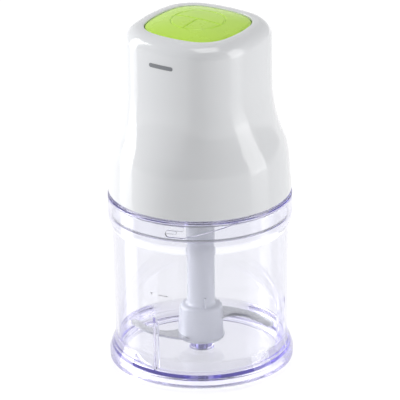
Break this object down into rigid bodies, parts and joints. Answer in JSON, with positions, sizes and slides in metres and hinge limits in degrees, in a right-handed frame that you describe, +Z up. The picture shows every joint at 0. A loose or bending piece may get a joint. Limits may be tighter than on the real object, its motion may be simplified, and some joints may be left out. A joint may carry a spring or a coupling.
{
  "type": "food processor",
  "caption": "Mini food chopper: clear bowl with collar and baffle ribs, geared blade spindle, bayonet lid and a pear-shaped motor unit worked by a domed push button.",
  "frame": {"origin": "centre of the bowl's foot, on the surface it stands on", "axes": "+Z up along the blade axis, -Y the front with the printed mark, +Y the back with the cord inlet"},
  "size_m": [0.112, 0.112, 0.218],
  "materials": {
    "clear_plastic": "clear moulded plastic, polished",
    "white_gloss": "glossy moulded shell",
    "white_matte": "satin moulded plastic",
    "white_stem": "smooth moulded plastic",
    "green_plastic": "satin gloss lime green",
    "grey_plastic": "moulded nylon",
    "black_plastic": "moulded",
    "seal_rubber": "translucent silicone",
    "blade_steel": "ground stainless steel",
    "steel": "turned steel",
    "zinc_steel": "zinc plated sheet",
    "core_steel": "stacked laminations",
    "bronze": "sintered bronze",
    "brass": "sheet brass",
    "copper": "enamelled copper wire",
    "ferrite": "sintered ferrite",
    "carbon": "pressed carbon",
    "board": "coated circuit board"
  },
  "bodies": {
    "bowl_body": {"bowl": "clear_plastic", "pivot_pin": "steel"},
    "lid_body": {"lid": "clear_plastic", "lid_seal": "seal_rubber"},
    "blade_body": {"blade_stem": "white_stem", "upper_blade": "blade_steel", "lower_blade": "blade_steel", "stem_bush": "bronze", "drive_socket": "grey_plastic"},
    "motor_unit": {"housing": "white_gloss", "base_cover": "white_matte", "cover_screws": "steel", "gear_case_screws": "steel", "spindle_seal": "seal_rubber", "cord_gland": "grey_plastic", "cord_clamp": "grey_plastic", "clamp_screws": "steel", "gear_case": "grey_plastic", "ring_gear": "grey_plastic", "output_bearing": "bronze", "motor_can": "zinc_steel", "motor_screws": "steel", "magnets": "ferrite", "lower_bearing": "bronze", "upper_bearing": "bronze", "end_cap": "black_plastic", "brush_holders": "brass", "carbon_brushes": "carbon", "control_board": "board", "bridge_rectifier": "black_plastic", "filter_capacitor": "black_plastic", "switch_bracket": "white_matte", "bracket_screws": "steel", "microswitch": "black_plastic"},
    "rotor": {"motor_shaft": "steel", "armature_core": "core_steel", "windings": "copper", "commutator": "copper", "cooling_fan": "black_plastic", "sun_gear": "steel"},
    "carrier": {"planet_carrier": "zinc_steel", "planet_pins": "steel", "drive_spindle": "steel"},
    "planet_1": {"planet_gear_1": "steel"},
    "planet_2": {"planet_gear_2": "steel"},
    "planet_3": {"planet_gear_3": "steel"},
    "button_body": {"button": "green_plastic", "return_spring": "steel"}
  },
  "joints": [
    {"name": "lid_twist", "type": "hinge", "parent": "bowl_body", "child": "lid_body", "pos_m": [0, 0, 0.1], "axis": [0, 0, 1], "range_deg": [0, 12]},
    {"name": "motor_unit_lift", "type": "slide", "parent": "lid_body", "child": "motor_unit", "axis": [0, 0, 1], "range_m": [0, 0.13]},
    {"name": "blade_spin", "type": "hinge", "parent": "lid_body", "child": "blade_body", "pos_m": [0, 0, 0.02], "axis": [0, 0, 1], "continuous": true},
    {"name": "rotor_spin", "type": "hinge", "parent": "motor_unit", "child": "rotor", "pos_m": [0, 0, 0.15], "axis": [0, 0, 1], "continuous": true},
    {"name": "carrier_spin", "type": "hinge", "parent": "motor_unit", "child": "carrier", "pos_m": [0, 0, 0.115], "axis": [0, 0, 1], "continuous": true},
    {"name": "button_press", "type": "slide", "parent": "motor_unit", "child": "button_body", "axis": [0, 0, -1], "range_m": [0, 0.004], "stiffness_N_per_m": 900, "springref_m": -0.001, "deforming": ["return_spring"]},
    {"name": "planet_1_spin", "type": "hinge", "parent": "carrier", "child": "planet_1", "pos_m": [0.012, 0, 0.122], "axis": [0, 0, 1], "continuous": true},
    {"name": "planet_2_spin", "type": "hinge", "parent": "carrier", "child": "planet_2", "pos_m": [-0.006, 0.01039, 0.122], "axis": [0, 0, 1], "continuous": true},
    {"name": "planet_3_spin", "type": "hinge", "parent": "carrier", "child": "planet_3", "pos_m": [-0.006, -0.01039, 0.122], "axis": [0, 0, 1], "continuous": true}
  ],
  "couplings": [
    {"joint": "carrier_spin", "follows": "rotor_spin", "ratio": 0.25},
    {"joint": "blade_spin", "follows": "rotor_spin", "ratio": 0.25},
    {"joint": "planet_1_spin", "follows": "rotor_spin", "ratio": -0.75},
    {"joint": "planet_2_spin", "follows": "rotor_spin", "ratio": -0.75},
    {"joint": "planet_3_spin", "follows": "rotor_spin", "ratio": -0.75}
  ]
}
